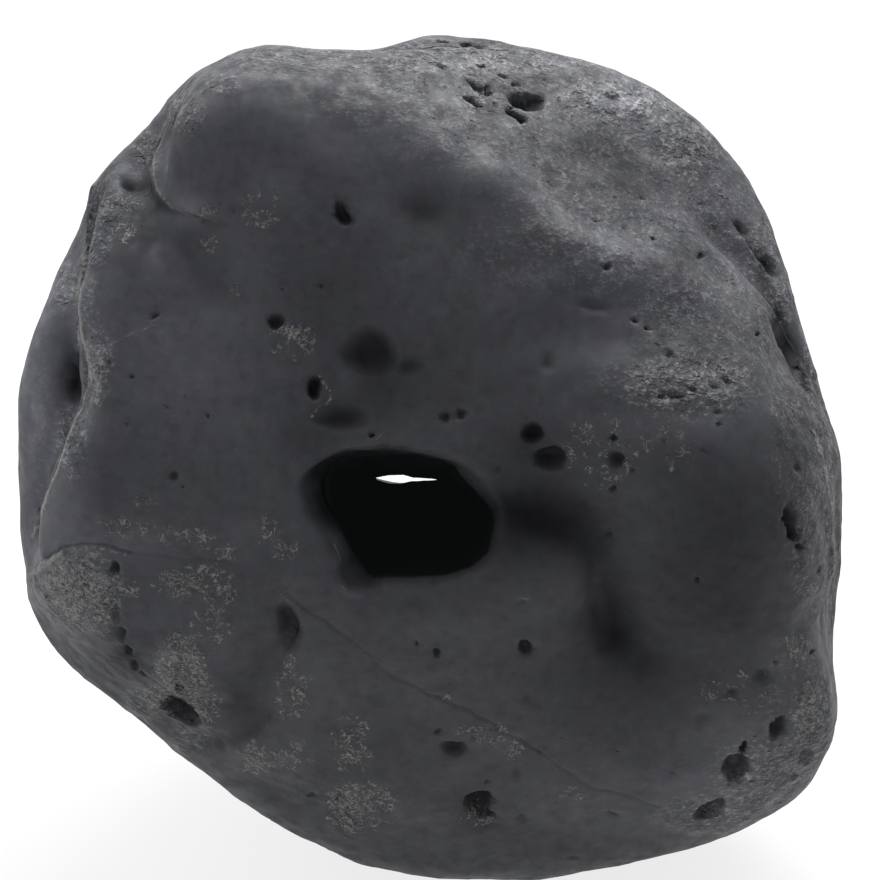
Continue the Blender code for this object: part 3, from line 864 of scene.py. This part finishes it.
def store_hole(data):
    """Stores the hole's painted shade, where its wall is, and how much painted light it glows with."""
    points, x, y, _ = in_view(data)
    along = points[:, 1]
    angles, reach = around(x, y, MOUTH_POINT)
    shaded = smooth_step((reach_of(SHADE, MOUTH_POINT, angles) - reach) / 6 + 0.5)
    inside = smooth_step((reach_of(MOUTH, MOUTH_POINT, angles) - reach) / 8 + 0.5)
    # Painted light on the wall just inside the rim.
    rim = inside * (1 - shaded) * (0.8 + blend(x, y, PAINTED_WALL_LIGHT))
    tunnel = stored(data, "tunnel")
    within = smooth_step(tunnel * 2) * smooth_step((along + 30 * MM) / (10 * MM))
    within *= smooth_step((60 * MM - along) / (20 * MM))
    at_rim = along < RIM_END
    # Painted shade over the hole's dark and deep in the tunnel; at the rim the wall's mark follows it.
    dark = np.maximum(np.where(at_rim, shaded, 0), within)
    store(data, "shade", dark)
    store(data, "tunnel", np.where(at_rim, dark, smooth_step(tunnel * 1.5 - 0.5)))
    # How much painted light the hole glows with.
    store(data, "painted_hole_light", np.where(at_rim, shaded + rim, within * (1.5 - 0.5 * shaded)))


def make_stone():
    data = shape_stone()
    store_tones_and_painted_light(data)
    store_hole(data)
    stone = new_object("river_rock_surface", data)
    data.shade_smooth()
    data.materials.clear()
    data.materials.append(stone_material())
    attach(stone, "root")
    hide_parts(ROCK)


# ---------------- materials

CLOUD_DARK, CLOUD_PALE = (0.0387, 0.0423, 0.0485, 1), (0.0485, 0.0516, 0.0578, 1)
MOTTLE, VIOLET = (0.053, 0.056, 0.063, 1), (0.050, 0.045, 0.057, 1)
BLOT_DARK, BLOT_PALE = (0.026, 0.030, 0.031, 1), (0.072, 0.072, 0.078, 1)
GRAIN_DARK, GRAIN_PALE = (0.022, 0.023, 0.026, 1), (0.138, 0.138, 0.146, 1)
CRUST_GAP, CRUST_PALE = (0.018, 0.019, 0.022, 1), (0.172, 0.169, 0.164, 1)
# Painted shade in tiny pores, and in pits and cracks.
PORE_PAINTED_SHADE, PIT_PAINTED_SHADE = (0.012, 0.012, 0.014, 1), (0.008, 0.008, 0.009, 1)
# Painted shade in the hole: on its wall, and nearly black in its dark.
HOLE_WALL_PAINTED_SHADE, HOLE_PAINTED_SHADE = (0.02, 0.02, 0.021, 1), (0.002, 0.002, 0.002, 1)
# The colour of the hole's painted light.
HOLE_PAINTED_LIGHT = (0.0026, 0.0030, 0.0031, 1)


class Nodes:
    """Adds nodes to a tree: a number or colour sets a socket, and another node's output links to it."""

    def __init__(self, tree):
        self.tree = tree

    def add(self, kind, settings=None, **inputs):
        made = self.tree.nodes.new("ShaderNode" + kind)
        for key, value in (settings or {}).items():
            setattr(made, key, value)
        for key, value in inputs.items():
            socket = made.inputs[int(key[1:])] if key[1:].isdigit() else made.inputs[key.replace("_", " ")]
            self.set(socket, value)
        return made

    def set(self, socket, value):
        if isinstance(value, bpy.types.NodeSocket):
            self.tree.links.new(value, socket)
        else:
            socket.default_value = value

    def math(self, operation, first, second=0.0, third=0.0):
        made = self.add("Math", {"operation": operation}, _0=first, _1=second, _2=third)
        return made.outputs[0]

    def times(self, first, second):
        return self.math("MULTIPLY", first, second)

    def vector(self, operation, first, **inputs):
        return self.add("VectorMath", {"operation": operation}, _0=first, **inputs)

    def ramp(self, value, low, high, to_low=0.0, to_high=1.0):
        """The value, smoothly stepped from one range to another."""
        made = self.add("MapRange", {"interpolation_type": "SMOOTHSTEP"}, _0=value)
        for index, limit in enumerate((low, high, to_low, to_high), 1):
            self.set(made.inputs[index], limit)
        return made.outputs[0]

    def mix(self, factor, first, second):
        made = self.add("Mix", {"data_type": "RGBA"})
        for index, value in ((0, factor), (6, first), (7, second)):
            self.set(made.inputs[index], value)
        return made.outputs[2]

    def noise(self, where, scale, detail, roughness, distortion=0.0):
        made = self.add("TexNoise", Vector=where, Scale=scale, Detail=detail)
        made.inputs["Roughness"].default_value = roughness
        made.inputs["Distortion"].default_value = distortion
        return made.outputs[0]

    def attribute(self, name):
        return self.add("Attribute", {"attribute_name": name}).outputs["Fac"]

    def bump(self, height, distance, under=None):
        """The normal, bumped by this height over the bumps under it."""
        made = self.add("Bump", Height=height, Distance=distance)
        if under is not None:
            self.set(made.inputs["Normal"], under)
        return made.outputs[0]


def new_material(name):
    material = bpy.data.materials.new(name)
    material.use_nodes = True
    tree = material.node_tree
    return material, Nodes(tree), tree.nodes["Principled BSDF"]


def cloudy(nodes, in_mm, mottle):
    """The stone's own colour: broad cloudy patches, a finer mottle, a little hue and small blots."""
    clouds = nodes.ramp(nodes.noise(in_mm, 0.045, 3, 0.55, 0.6), 0.35, 0.68)
    hue = nodes.ramp(nodes.noise(in_mm, 0.12, 1, 0.6), 0.35, 0.65)
    blots = nodes.noise(in_mm, 0.38, 1, 0.5)
    colour = nodes.mix(clouds, CLOUD_DARK, CLOUD_PALE)
    colour = nodes.mix(nodes.times(mottle, 0.6), colour, MOTTLE)
    colour = nodes.mix(nodes.times(hue, 0.6), colour, VIOLET)
    colour = nodes.mix(nodes.ramp(blots, 0.46, 0.3, 0, 0.32), colour, BLOT_DARK)
    return nodes.mix(nodes.ramp(blots, 0.54, 0.7, 0, 0.22), colour, BLOT_PALE)


def grainy(nodes, colour, both, graininess):
    """The colour with its grains: paler where they stand out and darker between them."""
    low = nodes.times(nodes.ramp(both, 0.50, 0.39), graininess)
    high = nodes.times(nodes.ramp(both, 0.51, 0.62), graininess)
    colour = nodes.mix(nodes.times(low, 0.6), colour, GRAIN_DARK)
    return nodes.mix(nodes.times(high, 0.85), colour, GRAIN_PALE)


def tinted(nodes, colour, tone_and_painted_light, green, warm):
    """The colour in its place's tone, with its painted shade and highlight, and hue."""
    red = nodes.math("MULTIPLY_ADD", green, -0.05, nodes.math("MULTIPLY_ADD", warm, 0.02, 1.0))
    blue = nodes.math("MULTIPLY_ADD", green, -0.04, nodes.math("MULTIPLY_ADD", warm, -0.05, 1.0))
    tint = nodes.add("CombineXYZ", X=red, Y=1.0, Z=blue).outputs[0]
    toned = nodes.vector("SCALE", colour, _3=tone_and_painted_light).outputs[0]
    return nodes.vector("MULTIPLY", toned, _1=tint).outputs[0]


def crust_ridges(nodes, in_mm, crust):
    """Crust lies in short winding ridges, closer together where there is more of it."""
    first = nodes.math("ABSOLUTE", nodes.math("SUBTRACT", nodes.noise(in_mm, 0.45, 1, 0.5, 1.3), 0.5))
    second = nodes.math("ABSOLUTE", nodes.math("SUBTRACT", nodes.noise(in_mm, 0.62, 1, 0.5, 1.0), 0.46))
    winding = nodes.ramp(nodes.math("MINIMUM", first, second), 0.045, 0.02)
    gaps = nodes.math("ADD", nodes.noise(in_mm, 0.4, 2, 0.7), nodes.times(crust, 0.3))
    kept = nodes.times(nodes.ramp(gaps, 0.55, 0.68), nodes.ramp(crust, 0.02, 0.15))
    return nodes.times(winding, kept)


def crusted(nodes, colour, crust, ridges, grains, specks):
    """The colour with pale ridges of crust, worn in places, and dark between them."""
    between = nodes.times(nodes.ramp(grains, 0.5, 0.36), nodes.ramp(crust, 0.3, 1.0, 0, 0.8))
    worn = nodes.ramp(specks, 0.35, 0.6, 0.45, 1.0)
    colour = nodes.mix(between, colour, CRUST_GAP)
    return nodes.mix(nodes.times(ridges, worn), colour, CRUST_PALE)


def stone_material():
    """Basalt. Where its marks are comes from what the mesh stores at each point."""
    material, nodes, shader = new_material("basalt")
    material.cycles.emission_sampling = "NONE"
    place = nodes.add("TexCoord").outputs["Object"]
    in_mm = nodes.add("Mapping", _3=(1000, 600, 1000), Vector=place).outputs[0]
    fine = nodes.add("Mapping", _3=(650, 650, 1000), Vector=place).outputs[0]
    hollow, crust, pale, rough = map(nodes.attribute, ("hollow", "crust", "pale", "rough"))
    tunnel, shade, painted_hole_light = map(nodes.attribute, ("tunnel", "shade", "painted_hole_light"))
    tone_and_painted_light, green, warm = map(nodes.attribute, ("tone_and_painted_light", "green", "warm"))

    mottle = nodes.ramp(nodes.noise(in_mm, 0.22, 2, 0.6), 0.3, 0.7)
    lumps = nodes.noise(in_mm, 0.35, 2, 0.6)
    grains = nodes.noise(fine, 1.0, 2, 0.6)
    specks = nodes.noise(fine, 2.2, 1, 0.6)
    both = nodes.math("ADD", nodes.times(lumps, 0.25), nodes.times(grains, 0.45))
    both = nodes.math("ADD", both, nodes.times(specks, 0.30))
    graininess = nodes.ramp(nodes.math("SUBTRACT", rough, hollow), -0.25, 2.0, 0.0, 1.6)
    # Tiny pits where the surface is rough, darkened with painted shade.
    threshold = nodes.ramp(rough, 0.1, 1.8, 0.22, 0.41)
    pores = nodes.ramp(nodes.math("SUBTRACT", threshold, nodes.noise(fine, 0.7, 1, 0.6)), 0.0, 0.07)
    # Pale lines, some of them painted highlights, take the crust's pale colour.
    lines = nodes.ramp(nodes.math("ADD", pale, nodes.times(grains, 0.8)), 0.55, 1.15)
    ridges = nodes.math("MAXIMUM", crust_ridges(nodes, in_mm, crust), lines)

    colour = grainy(nodes, cloudy(nodes, in_mm, mottle), both, graininess)
    colour = nodes.mix(nodes.times(pores, 0.55), colour, PORE_PAINTED_SHADE)
    colour = tinted(nodes, colour, tone_and_painted_light, green, warm)
    colour = crusted(nodes, colour, crust, ridges, grains, specks)
    # Painted shade in pits and cracks, darker where they are deeper.
    colour = nodes.mix(nodes.ramp(hollow, 0.1, 0.9, 0, 0.75), colour, PIT_PAINTED_SHADE)
    # Painted shade: the tunnel's wall darker, and the hole's dark nearly black.
    colour = nodes.mix(nodes.ramp(tunnel, 0.2, 0.9), colour, HOLE_WALL_PAINTED_SHADE)
    colour = nodes.mix(shade, colour, HOLE_PAINTED_SHADE)
    nodes.set(shader.inputs["Base Color"], colour)

    # Painted light: the hole glows a little, so that it is not quite black, and more on the wall inside the
    # rim.
    shader.inputs["Emission Color"].default_value = HOLE_PAINTED_LIGHT
    nodes.set(shader.inputs["Emission Strength"], painted_hole_light)

    nodes.set(shader.inputs["Roughness"], nodes.ramp(nodes.math("ADD", mottle, tunnel), 0, 1.5, 0.55, 0.9))
    # The reflections are scaled by the tone too, and so carry its painted shade and highlight.
    gloss = nodes.times(nodes.ramp(rough, 0, 1, 0.17, 0.28), tone_and_painted_light)
    # The reflections fade in the tunnel, as painted shade.
    gloss = nodes.times(gloss, nodes.ramp(tunnel, 0.1, 0.8, 1.0, 0.05))
    nodes.set(shader.inputs["Specular IOR Level"], gloss)

    normal = nodes.bump(nodes.times(lumps, graininess), 0.4 * MM)
    normal = nodes.bump(nodes.times(grains, graininess), 0.25 * MM, normal)
    normal = nodes.bump(nodes.times(specks, graininess), 0.08 * MM, normal)
    normal = nodes.bump(nodes.times(pores, -1.0), 0.3 * MM, normal)
    normal = nodes.bump(ridges, 0.25 * MM, normal)
    nodes.set(shader.inputs["Normal"], normal)
    return material


# ---------------- floor and light

FLOOR_HALF, FLOOR_GLOW = 6.0, 0.8
BRIGHTEST_WAY = Vector((-0.25, 0.72, 0.66)).normalized()
WORLD_DIM, WORLD_BRIGHT = 0.12, 1.45
SOFTBOX_PLACE, SOFTBOX_SIZE, SOFTBOX_POWER = Vector((0.15, 0.35, 0.85)), 0.7, 9


def add_floor():
    """A pale floor that glows, so that it shows as the photograph's white."""
    corners = [(x * FLOOR_HALF, y * FLOOR_HALF, 0) for x, y in ((-1, -1), (1, -1), (1, 1), (-1, 1))]
    data = bpy.data.meshes.new("floor")
    data.from_pydata(corners, [], [(0, 1, 2, 3)])
    floor = new_object("floor", data)
    material, _, shader = new_material("pale_floor")
    shader.inputs["Base Color"].default_value = (0.15, 0.15, 0.15, 1)
    shader.inputs["Roughness"].default_value = 0.9
    shader.inputs["Emission Color"].default_value = (1, 1, 1, 1)
    shader.inputs["Emission Strength"].default_value = FLOOR_GLOW
    data.materials.append(material)


def add_light():
    """An overcast dome, brightest high at the back, and one soft lamp."""
    world = bpy.data.worlds.new("studio")
    world.use_nodes = True
    bpy.context.scene.world = world
    nodes = Nodes(world.node_tree)
    ways = nodes.add("TexCoord").outputs["Generated"]
    turned = nodes.vector("DOT_PRODUCT", ways, _1=BRIGHTEST_WAY)
    strength = nodes.ramp(turned.outputs["Value"], -0.45, 0.85, WORLD_DIM, WORLD_BRIGHT)
    background = world.node_tree.nodes["Background"]
    nodes.set(background.inputs["Strength"], strength)
    background.inputs["Color"].default_value = (1, 1, 1, 1)

    data = bpy.data.lights.new("softbox", "AREA")
    data.energy = SOFTBOX_POWER
    data.size = SOFTBOX_SIZE
    softbox = new_object("softbox", data)
    softbox.location = SOFTBOX_PLACE
    softbox.rotation_euler = (SOFTBOX_PLACE - MIDDLE).to_track_quat("Z", "Y").to_euler()


bpy.context.scene.view_settings.view_transform = "Standard"
add_camera()
make_stone()
add_floor()
add_light()
